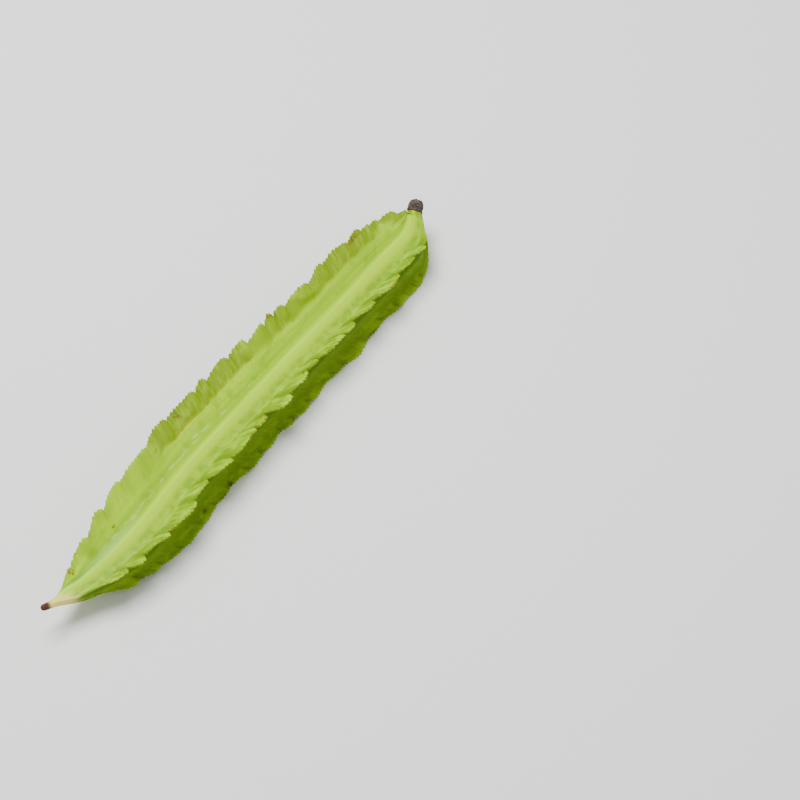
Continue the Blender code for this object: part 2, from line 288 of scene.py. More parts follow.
class Margin:
    """The toothed and lobed margin of one wing, drawn from the wing's seed."""

    def __init__(self, form: PodForm, wing: Wing) -> None:
        """Draw the teeth and the lobes.

        Args:
            form: The pod's measures.
            wing: The wing that the margin belongs to.
        """
        self.form = form
        draw = random.Random(wing.seed)
        drift = [draw.uniform(-form.tooth_jitter, form.tooth_jitter) for _ in range(form.teeth - 1)]
        self.jitter = [0.0, *drift, 0.0]
        self.heights = np.array([draw.uniform(*wing.teeth) for _ in range(form.teeth + 1)])
        starts = [0]
        while starts[-1] < form.teeth:
            starts.append(starts[-1] + draw.choice(form.lobe_teeth))
        self.lobe_starts = np.array(starts)
        self.lobe_heights = np.array([draw.uniform(*wing.lobes) for _ in starts])
        crenels = form.teeth * form.crenels + 1
        self.crenel_depths = np.array([draw.uniform(*form.crenel_spread) for _ in range(crenels)])

    def shift(self, count: np.ndarray) -> np.ndarray:
        """How far teeth and lobes are drawn along, at a running count of teeth.

        Args:
            count: Running count of teeth.

        Returns:
            The shift towards the stem at each count.
        """
        pitch = (self.form.teeth_end - self.form.teeth_start) / self.form.teeth
        jitter = pitch * np.interp(count, np.arange(self.form.teeth + 1), self.jitter)
        return jitter + self.form.lobe_slant * self.lobe_reach(count)

    def lobe_reach(self, count: np.ndarray) -> np.ndarray:
        """How far the lobes stand out beyond a plain edge. They end with the teeth.

        Args:
            count: Running count of teeth.

        Returns:
            The lobes' height at each count.
        """
        index, risen = self.lobe(count)
        height = self.lobe_heights[index] * np.clip(self.form.teeth - count, 0.0, 1.0)
        return height * np.sin(0.5 * math.pi * np.clip(risen, 0.0, 1.0))

    def lobe(self, count: np.ndarray) -> tuple[np.ndarray, np.ndarray]:
        """Find the lobes at a running count of teeth.

        A lobe rises from 0 to 1 at the start of its last tooth and falls along that tooth.

        Args:
            count: Running count of teeth.

        Returns:
            The index of each lobe, and how far it has risen.
        """
        index = np.searchsorted(self.lobe_starts, count, side="right") - 1
        index = np.clip(index, 0, len(self.lobe_starts) - 2)
        start, end = self.lobe_starts[index], self.lobe_starts[index + 1]
        peak = end - self.form.lobe_fall
        return index, np.minimum((count - start) / (peak - start), (end - count) / (end - peak))

    def reach(self, count: np.ndarray) -> np.ndarray:
        """How far the margin stands out beyond a plain edge.

        Args:
            count: Running count of teeth.

        Returns:
            The height of teeth and lobes at each count.
        """
        form = self.form
        tooth = np.clip(np.floor(count).astype(int), 0, form.teeth)
        part = (count - tooth) * form.crenels % 1.0
        rising = np.sin(0.5 * math.pi * np.clip(part / form.crenel_peak, 0.0, 1.0))
        falling = np.clip((1.0 - part) / (1.0 - form.crenel_peak), 0.0, 1.0)
        height = np.interp(count, np.arange(form.teeth + 1) + 0.5, self.heights)
        height *= np.clip(form.teeth - count, 0.0, 1.0)
        depth = form.crenel_depth * self.crenel_depths[np.floor(count * form.crenels).astype(int)]
        crenel = form.crenel_base + depth * np.minimum(rising, falling)
        return height * crenel + self.lobe_reach(count)

    def lift(self, count: np.ndarray) -> np.ndarray:
        """How far each lobe's stem corner lies over the next lobe's start."""
        _, risen = self.lobe(count)
        return self.form.lobe_lift * (np.clip(risen, 0.0, 1.0) - 0.5)


class PodShape:
    """The pod's centre line and the sizes of its section, as the frame has them."""

    def __init__(self, form: PodForm) -> None:
        """Keep the pod's measures."""
        self.form = form

    def spine(self, s: np.ndarray) -> tuple[np.ndarray, np.ndarray]:
        """Offset of the centre line.

        Args:
            s: Distance from the beak's tip.

        Returns:
            The sideways and the upward offset at each distance.
        """
        form = self.form
        beak = np.clip(1.0 - s / form.beak_turn_span, 0.0, 1.0) ** form.turn_power
        neck = np.clip(1.0 - (form.length - s) / form.neck_turn_span, 0.0, 1.0) ** form.turn_power
        sway = form.sway * np.exp(-(((s - form.sway_place) / form.sway_spread) ** 2))
        side = sway + form.stem_drift * s / form.length
        side = side + form.beak_turn[0] * beak + form.neck_turn[0] * neck
        return side, form.beak_turn[1] * beak + form.neck_turn[1] * neck

    def roundness(self, s: np.ndarray) -> np.ndarray:
        """How far the section has turned into the round beak or neck: 1 is a circle."""
        beak = 1.0 - ramp(s, *self.form.beak_round)
        return np.maximum(beak, 1.0 - ramp(self.form.length - s, *self.form.neck_round))

    def axes(self, s: np.ndarray) -> tuple[np.ndarray, np.ndarray, np.ndarray, np.ndarray]:
        """The centre line with its directions. Only the round beak and neck turn with it.

        Args:
            s: Distance from the beak's tip.

        Returns:
            The line's points, and its ahead, side and up directions.
        """
        step = 1.0e-5
        side, up = self.spine(s)
        centre = np.stack([s, side, up], axis=-1)
        side_ahead, up_ahead = self.spine(s + step)
        side_behind, up_behind = self.spine(s - step)
        run = np.full_like(s, 2.0 * step)
        ahead = np.stack([run, side_ahead - side_behind, up_ahead - up_behind], axis=-1)
        turned = self.roundness(s)[:, None]
        ahead = (1.0 - turned) * [1.0, 0.0, 0.0] + turned * ahead / (2.0 * step)
        ahead /= np.linalg.norm(ahead, axis=-1, keepdims=True)
        across = np.cross([0.0, 0.0, 1.0], ahead)
        across /= np.linalg.norm(across, axis=-1, keepdims=True)
        return centre, ahead, across, np.cross(ahead, across)

    def body_scale(self, s: np.ndarray) -> np.ndarray:
        """Size of the body's section, from the beak's and the neck's taper.

        Args:
            s: Distance from the beak's tip.

        Returns:
            The part of its full size that the body has at each distance.
        """
        form = self.form
        beak = form.beak_radius / form.ridge_height
        neck = form.neck_radius / form.ridge_height
        from_beak = beak + (1.0 - beak) * ease_out(s, *form.beak_taper)
        return from_beak * (neck + (1.0 - neck) * ease_out(form.length - s, *form.neck_taper))

    def wing_scale(self, wing: Wing, s: np.ndarray) -> np.ndarray:
        """Reach of a wing, from its rise off the beak and its rounded end at the neck.

        Args:
            wing: The wing.
            s: Distance from the beak's tip.

        Returns:
            The part of its full reach that the wing has at each distance.
        """
        form = self.form
        rise = ease_out(np.maximum(s - form.wing_first, 0.0), wing.start, form.wing_rise_power)
        fall = ease_out(form.length - s, wing.end, form.wing_fall_power) ** form.wing_fall_rounding
        return rise * fall * (1.0 - wing.narrowing * ramp(s, *form.narrowing_span))

    def round_radius(self, s: np.ndarray) -> np.ndarray:
        """Radius of the round beak and neck, domed at the tip and eased at the seat.

        Args:
            s: Distance from the beak's tip.

        Returns:
            The radius at each distance.
        """
        form = self.form
        dome = np.sqrt(1.0 - np.clip(1.0 - s / form.beak_radius, 0.0, 1.0) ** 2)
        swell_start, swell_end, swell = form.beak_swell
        beak = form.beak_radius * dome * (1.0 + swell * ramp(s, swell_start, swell_end))
        edge, inset = form.neck_edge
        eased = np.clip(1.0 - (form.length - s) / edge, 0.0, 1.0)
        return np.where(s < 0.5 * form.length, beak, form.neck_radius * (1.0 - inset * eased))

    def folded(self, wing: Wing, s: np.ndarray) -> np.ndarray:
        """Where a wing's margin is folded back.

        Args:
            wing: The wing.
            s: Distance from the beak's tip.

        Returns:
            1 where the margin is folded and 0 elsewhere, at each distance.
        """
        amount = np.zeros_like(s)
        for first, last in wing.folds:
            opening = ramp(s, first - self.form.fold_ease, first)
            amount += opening * (1.0 - ramp(s, last, last + self.form.fold_ease))
        return amount


@dataclass(frozen=True)
class SkinFinish:
    """Colours and gloss of the fresh green skin, painted shade, sheen and highlights among the colours.
    """

    name: str = "fresh_pod_skin"
    face: Colour = (0.520, 0.830, 0.001, 1.0)
    face_deep: Colour = (0.380, 0.660, 0.001, 1.0)
    lobe: Colour = (0.300, 0.515, 0.001, 1.0)
    lobe_deep: Colour = (0.190, 0.340, 0.001, 1.0)
    ridge: Colour = (0.385, 0.610, 0.001, 1.0)
    # groove: deeper green along the groove, also laid as painted shade in the pleats' hollows and the
    # shaded patches
    groove: Colour = (0.235, 0.430, 0.001, 1.0)
    # slit: painted shadow under the lobes' corners and in the hollows of the pleats
    slit_shadow: Colour = (0.130, 0.250, 0.001, 1.0)
    margin: Colour = (0.360, 0.640, 0.003, 1.0)
    # flank and crease: the flanks' deeper green with painted shade, darkest at the crease between the
    # wings
    flank: Colour = (0.170, 0.300, 0.004, 1.0)
    crease: Colour = (0.095, 0.200, 0.002, 1.0)
    vein: Colour = (0.400, 0.650, 0.006, 1.0)
    leaf: Colour = (0.300, 0.500, 0.002, 1.0)
    # olive: olive green of the folded and curled margins, partly painted shade
    olive: Colour = (0.175, 0.275, 0.001, 1.0)
    bruise: Colour = (0.210, 0.150, 0.008, 1.0)
    rust: Colour = (0.130, 0.062, 0.010, 1.0)
    pale: Colour = (0.440, 0.720, 0.030, 1.0)
    # sheen: painted reflection of the lights near the beak; the pale specks also take this colour
    sheen: Colour = (0.450, 0.800, 0.190, 1.0)
    # glint: painted highlights
    glint: Colour = (0.740, 0.940, 0.420, 1.0)
    cream: Colour = (0.860, 0.790, 0.200, 1.0)
    streak: Colour = (0.420, 0.240, 0.030, 1.0)
    tip: Colour = (0.105, 0.034, 0.024, 1.0)
    roughness: float = 0.55
    roughness_spread: float = 0.22
    specular: float = 0.08
    subsurface: float = 0.12
    subsurface_depth: float = 0.0010
    subsurface_radius: tuple[float, float, float] = (1.0, 1.0, 0.25)
    vein_relief: float = 1.4
    bump_strength: float = 0.5
    bump_depth: float = 0.00012
    wing_step: float = 5.1
    right_shift: float = 0.50
    line_waver: float = 0.0012
    beak_waver: float = 0.010
    beak_longer: float = 0.0030
    tip_waver: float = 0.0022
    neck_waver: float = 0.004


@dataclass(frozen=True)
class Noise:
    """Noise of the skin, round in space at its scale, or drawn out by along and out.

    A leant one leans with the pleats.
    """

    name: str
    detail: float
    scale: float = 0.0
    along: float = 0.0
    out: float = 0.0
    leant: bool = False


@dataclass(frozen=True)
class Rise:
    """Mask that goes smoothly from 0 to its high value between two places of a value."""

    value: str
    start: float
    end: float
    high: float = 1.0


@dataclass(frozen=True)
class Share:
    """Mask of a base and a share of a value."""

    value: str
    share: float
    base: float


@dataclass(frozen=True)
class Layer:
    """A colour that lies over those before it where all its masks are high."""

    colour: str
    masks: tuple[Rise | Share | str, ...]


NOISES = (
    Noise("bands", 3.0, along=28.0, out=5.0),
    Noise("patches", 3.0, scale=330.0),
    Noise("clouds", 3.0, scale=170.0),
    Noise("mottle", 4.0, scale=260.0),
    Noise("line_edge", 3.0, along=160.0),
    Noise("blotches", 3.0, along=1.0 / 0.0042, out=3.6, leant=True),
    # patches of olive and of painted curl shade on the left margin
    Noise("age", 3.0, scale=120.0),
    Noise("veins", 2.0, along=1.0 / 0.0012, out=2.2, leant=True),
    # streaks of the painted sheen near the beak
    Noise("sheen_streaks", 2.0, along=60.0, out=2.0),
    # spots and groups of the painted highlights
    Noise("glint_spots", 2.0, along=230.0, out=15.0),
    Noise("glint_groups", 1.0, scale=95.0),
    Noise("specks", 1.0, scale=1500.0),
    Noise("speck_groups", 2.0, scale=230.0),
    Noise("browning", 2.0, along=420.0),
    Noise("browned_parts", 1.0, along=60.0),
    Noise("breaks", 2.0, scale=1300.0),
    Noise("fibres", 2.0, along=120.0, out=9.0),
    Noise("gloss", 3.0, scale=240.0),
    Noise("grain", 2.0, scale=1500.0),
)

VEIN = Rise("veins", 0.50, 0.72)
VEINED = (Rise("leafward", 1.0, 1.7, 0.35), Share("flank", -0.6, 1.0))
CLOUD = Rise("clouds", 0.46, 0.64)
BLOTCH = Rise("blotches", 0.50, 0.66)

LOBE_LAYERS = (Layer("lobe", (Rise("patches", 0.38, 0.62),)),)
# The flank: painted shade darkening it towards the crease between the wings, lighter towards its margin
FLANK_LAYERS = (
    Layer("crease", (Rise("out", 1.5, 0.4),)),
    Layer("face", (Rise("out", 1.55, 2.0, 0.30),)),
)
BEAK_LAYERS = (Layer("streak", (Rise("fibres", 0.52, 0.70, 0.7),)),)
SKIN_LAYERS = (
    Layer("face", (Rise("bands", 0.34, 0.66),)),
    Layer("lobed", ("right",)),
    Layer("pale", (CLOUD, Rise("out", 1.0, 1.3, 0.35), "broad")),
    Layer("groove", (
        Rise("out", 1.40, 0.9), Rise("out", 0.30, 0.85), Share("left", 0.12, 0.33),
        Rise("along", 0.016, 0.050),
    )),
    Layer("groove", (Rise("mottle", 0.50, 0.68), Rise("out", 0.6, 1.1, 0.42))),
    Layer("ridge", (Rise("out", 0.60, 0.06),)),
    # the flanks' own green with painted shade
    Layer("flanked", ("flank",)),
    Layer("margin", (Rise("out", 1.65, 2.0), Share("broad", 0.4, 0.1))),
    # the folded strip: olive green, partly painted shade where it faces away from the light
    Layer("olive", ("fold", Rise("line", 0.0066, 0.0078))),
    Layer("bruise", (
        Rise("line", 0.0064, 0.0070), Rise("line", 0.0077, 0.0071), "fold",
        Rise("line_edge", 0.28, 0.60, 0.80),
    )),
    Layer("pale", (BLOTCH, Rise("leafward", 0.85, 1.6, 0.50), "broad", "pleats")),
    Layer("leaf", (BLOTCH, Rise("out", 1.25, 1.75, 0.75), "flank")),
    Layer("leaf", (CLOUD, Rise("out", 1.45, 1.90, 0.55), "flank")),
    # darker outer part of the left wing: deeper green, partly painted shade of its curled lobes
    Layer("leaf", (Rise("out", 1.42, 1.80, 0.72), Rise("fold", 1.0, 0.0), "left", "broad")),
    # olive on the left margin near the stem: partly its own colour, partly painted shade of the curled
    # lobes
    Layer("olive", (
        Rise("out", 1.42, 1.64, 0.95), "left", "broad", Rise("along", 0.100, 0.130),
        Rise("age", 0.20, 0.46),
    )),
    Layer("vein", (VEIN, *VEINED)),
    # painted shade in the hollows of the pleats
    Layer("groove", (Rise("pleat", 0.02, -0.14), Rise("out", 1.25, 1.7, 0.55), "pleats", "broad")),
    # painted shade in the hollows of the pleats on the right wings
    Layer("slit_shadow", (
        Rise("pleat", 0.05, -0.10), Rise("out", 1.10, 1.45, 0.60), "right", "broad", "pleats",
    )),
    # painted shadow where the lobes meet, under the raised corner of the lobe before
    Layer("slit_shadow", (
        Rise("risen", 0.60, 0.05), Rise("leafward", 1.50, 1.90, 0.90), Share("left", -0.6, 1.0),
        "broad",
    )),
    # painted shade where the lobes meet on the flanks
    Layer("crease", (Rise("risen", 0.40, 0.0), Rise("out", 1.60, 1.95, 0.55), "flank")),
    # painted shade of the shaded patches
    Layer("groove", ("shade",)),
    # painted sheen, a reflection of the lights, over the ridge and grooves near the beak
    Layer("sheen", (
        Rise("out", 0.15, 0.70), Rise("out", 1.40, 0.95), "broad", Rise("along", 0.050, 0.022),
        Share("left", 0.6, 0.15), Rise("sheen_streaks", 0.25, 0.60),
    )),
    # painted highlights in spots along the left wing's groove
    Layer("glint", (
        Rise("glint_spots", 0.54, 0.64, 0.85), Rise("out", 1.30, 1.16), Rise("out", 0.90, 1.04), "left",
        "broad", Rise("glint_groups", 0.34, 0.50), Rise("along", 0.118, 0.095),
        Rise("along", 0.026, 0.036),
    )),
    Layer("sheen", (
        Rise("specks", 0.60, 0.70), Rise("speck_groups", 0.52, 0.62),
        Rise("leafward", 1.6, 1.9, 0.50), "broad", "right",
    )),
    Layer("bruise", (
        Rise("out", 1.90, 2.0), Rise("browning", 0.50, 0.64), Rise("browned_parts", 0.44, 0.58, 0.80),
    )),
    Layer("rust", (Rise("mark", 0.15, 0.70, 0.8), Rise("breaks", 0.30, 0.60))),
    Layer("beak", (Rise("from_beak", 0.0125, 0.0070),)),
    Layer("tip", (Rise("from_tip", 0.0034, 0.0020),)),
    Layer("streak", (Rise("from_neck", 0.0012, 0.0002, 0.2),)),
)


@dataclass(frozen=True)
class CalyxFinish:
    """Colours of the dry calyx."""

    name: str = "dry_calyx_tissue"
    body: Colour = (0.100, 0.064, 0.056, 1.0)
    light: Colour = (0.240, 0.165, 0.130, 1.0)
    dark: Colour = (0.035, 0.022, 0.020, 1.0)
    roughness: float = 0.85
    patch_scale: float = 900.0
    patch_edges: tuple[float, float] = (0.42, 0.62)
    fleck_scale: float = 2100.0
    fleck_edges: tuple[float, float] = (0.54, 0.70)
    grain_scale: float = 3000.0
    bump_strength: float = 0.7
    bump_depth: float = 0.0002


@dataclass(frozen=True)
class FloorFinish:
    """Colour of the plain floor."""

    name: str = "pale_floor"
    colour: Colour = (0.90, 0.90, 0.89, 1.0)
    roughness: float = 0.8


class Graph:
    """Adds nodes to one tree and joins them."""

    def __init__(self, tree: bpy.types.NodeTree) -> None:
        """Keep the tree."""
        self.tree = tree

    def add(self, kind: str, inputs: dict | None = None, **settings: object) -> bpy.types.Node:
        """Add a node.

        Args:
            kind: The node's type name.
            inputs: Values or sockets for its inputs, by name or index.
            settings: Properties of the node.

        Returns:
            The new node.
        """
        node = self.tree.nodes.new(kind)
        for name, value in settings.items():
            setattr(node, name, value)
        for key, value in (inputs or {}).items():
            if isinstance(value, bpy.types.NodeSocket):
                self.tree.links.new(value, node.inputs[key])
            else:
                node.inputs[key].default_value = value
        return node

    def math(self, operation: str, *values: object) -> bpy.types.NodeSocket:
        """Combine numbers or sockets, in the order of the Math node's inputs."""
        inputs = dict(enumerate(values))
        return self.add("ShaderNodeMath", inputs, operation=operation).outputs[0]

    def product(self, *values: object) -> bpy.types.NodeSocket:
        """Multiply any number of numbers or sockets.

        Args:
            values: The numbers or sockets.

        Returns:
            The product's socket, or the value where it is the only one.
        """
        result = values[0]
        for value in values[1:]:
            result = self.math("MULTIPLY", result, value)
        return result

    def rise(self, value: object, start: float, end: float, high: float = 1.0) -> bpy.types.NodeSocket:
        """Smooth rise of a socket's value.

        Args:
            value: The socket that is read.
            start: Last value that gives 0.
            end: First value that gives the high value.
            high: Value after the rise.

        Returns:
            The result's socket.
        """
        inputs = {"Value": value, "From Min": start, "From Max": end, "To Min": 0.0, "To Max": high}
        node = self.add("ShaderNodeMapRange", inputs, interpolation_type="SMOOTHSTEP")
        return node.outputs["Result"]

    def mix(self, factor: object, first: object, second: object) -> bpy.types.NodeSocket:
        """Mix two colours.

        Args:
            factor: 0 for the first, 1 for the second.
            first: Colour or socket.
            second: Colour or socket.

        Returns:
            The mixed colour's socket.
        """
        inputs = {0: factor, 6: first, 7: second}  # the sockets of its colour mode
        return self.add("ShaderNodeMix", inputs, data_type="RGBA").outputs[2]

    def noise(self, vector: object, scale: float, detail: float) -> bpy.types.NodeSocket:
        """Noise around 0.5, of a scale and a number of finer layers, read at a vector."""
        inputs = {"Vector": vector, "Scale": scale, "Detail": detail}
        return self.add("ShaderNodeTexNoise", inputs).outputs[0]

    def combine(self, x: object, y: object, z: object) -> bpy.types.NodeSocket:
        """Vector of three numbers or sockets."""
        return self.add("ShaderNodeCombineXYZ", {0: x, 1: y, 2: z}).outputs[0]


class Relief(Graph):
    """Geometry Nodes tree with named inputs, an own geometry in and a geometry out."""

    def __init__(self, name: str, sizes: dict[str, float]) -> None:
        """Make the tree and its sockets.

        Args:
            name: The tree's name.
            sizes: Default of each number that the tree takes.
        """
        tree = bpy.data.node_groups.new(name, "GeometryNodeTree")
        super().__init__(tree)
        face = tree.interface
        face.new_socket(name="Geometry", in_out="INPUT", socket_type="NodeSocketGeometry")
        self.sizes = sizes
        self.sockets = {}
        for label, value in sizes.items():
            kind = "NodeSocketInt" if isinstance(value, int) else "NodeSocketFloat"
            socket = face.new_socket(name=label, in_out="INPUT", socket_type=kind)
            socket.default_value = value
            self.sockets[label] = socket.identifier
        socket = face.new_socket(name="Material", in_out="INPUT", socket_type="NodeSocketMaterial")
        self.sockets["Material"] = socket.identifier
        face.new_socket(name="Geometry", in_out="OUTPUT", socket_type="NodeSocketGeometry")
        self.given = tree.nodes.new("NodeGroupInput").outputs
        self.result = tree.nodes.new("NodeGroupOutput").inputs

    def attribute(self, name: str, data_type: str = "FLOAT") -> bpy.types.NodeSocket:
        """Read a named attribute of the mesh."""
        node = self.add("GeometryNodeInputNamedAttribute", {"Name": name}, data_type=data_type)
        return node.outputs["Attribute"]

    def push(self, geometry: object, direction: object, amount: object) -> bpy.types.NodeSocket:
        """Move points along a direction.

        Args:
            geometry: The geometry's socket.
            direction: Socket of the direction.
            amount: Socket of the distance.

        Returns:
            The moved geometry's socket.
        """
        offset = self.add("ShaderNodeVectorMath", {0: direction, "Scale": amount}, operation="SCALE")
        inputs = {"Geometry": geometry, "Offset": offset.outputs[0]}
        return self.add("GeometryNodeSetPosition", inputs).outputs[0]

    def close(self, geometry: object) -> None:
        """End the tree in Realize Instances and Set Material.

        Args:
            geometry: The finished geometry's socket.
        """
        real = self.add("GeometryNodeRealizeInstances", {"Geometry": geometry}).outputs[0]
        inputs = {"Geometry": real, "Material": self.given["Material"]}
        done = self.add("GeometryNodeSetMaterial", inputs)
        self.tree.links.new(done.outputs[0], self.result[0])

    def bake(self, piece: bpy.types.Object, material: bpy.types.Material) -> None:
        """Run the tree on a piece and keep the result as the piece's plain mesh.

        Args:
            piece: The object.
            material: The material that the tree sets.
        """
        modifier = piece.modifiers.new(self.tree.name, "NODES")
        modifier.node_group = self.tree
        for label, value in {**self.sizes, "Material": material}.items():
            modifier[self.sockets[label]] = value
        bpy.context.view_layer.update()
        graph = bpy.context.evaluated_depsgraph_get()
        mesh = bpy.data.meshes.new_from_object(piece.evaluated_get(graph))
        piece.modifiers.remove(modifier)
        mesh.name = piece.name
        piece.data = mesh


def place_new(name: str, data: bpy.types.ID) -> bpy.types.Object:
    """Put a new object into the scene.

    Args:
        name: The object's name.
        data: Its mesh, lamp or camera.

    Returns:
        The object.
    """
    piece = bpy.data.objects.new(name, data)
    bpy.context.scene.collection.objects.link(piece)
    return piece


def new_material(name: str) -> tuple[bpy.types.Material, Graph, bpy.types.Node]:
    """Make a Principled material.

    Args:
        name: The material's name.

    Returns:
        The material, its graph and its shader node.
    """
    material = bpy.data.materials.new(name)
    material.use_nodes = True
    return material, Graph(material.node_tree), material.node_tree.nodes["Principled BSDF"]


class SkinPaint:
    """Mixes the skin's colour in layers, masked by what the skin carries and by noise.

    values holds the sockets of both by name, and of what follows from them. left and right
    are 1 on the wings of that side, and broad is 1 off the flanks. leafward is out, with
    the right wings counted from further in. line is the uneven distance from a blade's
    root, and from_beak, from_tip and from_neck are uneven distances along the pod.
    """

    carried = (
        "along", "out", "flank", "wing", "fold", "mark", "shade", "pleat", "pleats", "far", "risen",
    )

    def __init__(self, graph: Graph, finish: SkinFinish, length: float, lean: float) -> None:
        """Read the skin's values and make its noises.

        Args:
            graph: The material's graph.
            finish: The skin's colours.
            length: The pod's length.
            lean: How far the pleats lean along the pod from a blade's root to its margin.
        """
        self.graph, self.finish = graph, finish
        values = {
            name: graph.add("ShaderNodeAttribute", attribute_name=name).outputs["Fac"]
            for name in self.carried
        }
        self.values = values
        along, out, wing = values["along"], values["out"], values["wing"]
        reach = graph.math("MAXIMUM", graph.math("SUBTRACT", out, 1.0), 0.0)
        self.leant = graph.math("SUBTRACT", along, graph.product(reach, lean))
        self.seeded = graph.math("MULTIPLY_ADD", wing, finish.wing_step, values["flank"])
        self.place = graph.add("ShaderNodeTexCoord").outputs["Object"]
        for noise in NOISES:
            values[noise.name] = self.noise(noise)

        left = graph.rise(wing, 1.0, 0.0)
        right = graph.math("SUBTRACT", 1.0, left)
        beakward = self.wavering(along, "fibres", finish.beak_waver)
        stemward = self.wavering(along, "fibres", finish.neck_waver)
        values["broad"] = graph.math("SUBTRACT", 1.0, values["flank"])
        values["left"], values["right"] = left, right
        values["leafward"] = graph.math("MULTIPLY_ADD", right, finish.right_shift, out)
        values["line"] = self.wavering(values["far"], "line_edge", finish.line_waver)
        values["from_beak"] = graph.math("MULTIPLY_ADD", left, finish.beak_longer, beakward)
        values["from_tip"] = self.wavering(along, "fibres", finish.tip_waver)
        values["from_neck"] = graph.math("SUBTRACT", length, stemward)

    def noise(self, noise: Noise) -> bpy.types.NodeSocket:
        """Add one of the skin's noises.

        Args:
            noise: The noise.

        Returns:
            Its socket.
        """
        if noise.scale:
            return self.graph.noise(self.place, noise.scale, noise.detail)
        along = self.leant if noise.leant else self.values["along"]
        across = self.graph.product(self.values["out"], noise.out)
        spot = self.graph.combine(self.graph.product(along, noise.along), across, self.seeded)
        return self.graph.noise(spot, 1.0, noise.detail)

    def wavering(self, value: object, noise: str, waver: float) -> bpy.types.NodeSocket:
        """A value that a noise makes uneven.

        Args:
            value: The value's socket.
            noise: The noise's name.
            waver: How far the noise takes it from its least to its most.

        Returns:
            The uneven value's socket.
        """
        uneven = self.graph.math("SUBTRACT", self.values[noise], 0.5)
        return self.graph.math("MULTIPLY_ADD", uneven, waver, value)

    def mask(self, *masks: Rise | Share | str) -> bpy.types.NodeSocket:
        """Product of masks.

        Args:
            masks: Rises and shares of the skin's values, and names of values.

        Returns:
            The product's socket.
        """
        sockets = []
        for mask in masks:
            if isinstance(mask, Rise):
                sockets.append(self.graph.rise(self.values[mask.value], mask.start, mask.end, mask.high))
            elif isinstance(mask, Share):
                value = self.values[mask.value]
                sockets.append(self.graph.math("MULTIPLY_ADD", value, mask.share, mask.base))
            else:
                sockets.append(self.values[mask])
        return self.graph.product(*sockets)

    def coat(self, ground: Colour, layers: tuple[Layer, ...], **mixed: object) -> bpy.types.NodeSocket:
        """Lay colours over a ground.

        Args:
            ground: The ground's colour.
            layers: The layers, with the last one on top.
            mixed: Colours that are mixed already, by the names that the layers call them.

        Returns:
            The mixed colour's socket.
        """
        colours = {**vars(self.finish), **mixed}
        colour = ground
        for layer in layers:
            colour = self.graph.mix(self.mask(*layer.masks), colour, colours[layer.colour])
        return colour

    def colour(self) -> bpy.types.NodeSocket:
        """The skin's green, with its veins, bruises, browned edges, beak and neck, and its painted shade,
        sheen and highlights.

        Returns:
            The colour's socket.
        """
        finish = self.finish
        lobed = self.coat(finish.lobe_deep, LOBE_LAYERS)
        flanked = self.coat(finish.flank, FLANK_LAYERS)
        beak = self.coat(finish.cream, BEAK_LAYERS)
        return self.coat(finish.face_deep, SKIN_LAYERS, lobed=lobed, flanked=flanked, beak=beak)

    def height(self) -> bpy.types.NodeSocket:
        """Fine grain with raised veins."""
        raised = self.graph.product(self.mask(*VEINED), self.finish.vein_relief)
        return self.graph.math("MULTIPLY_ADD", self.mask(VEIN), raised, self.values["grain"])


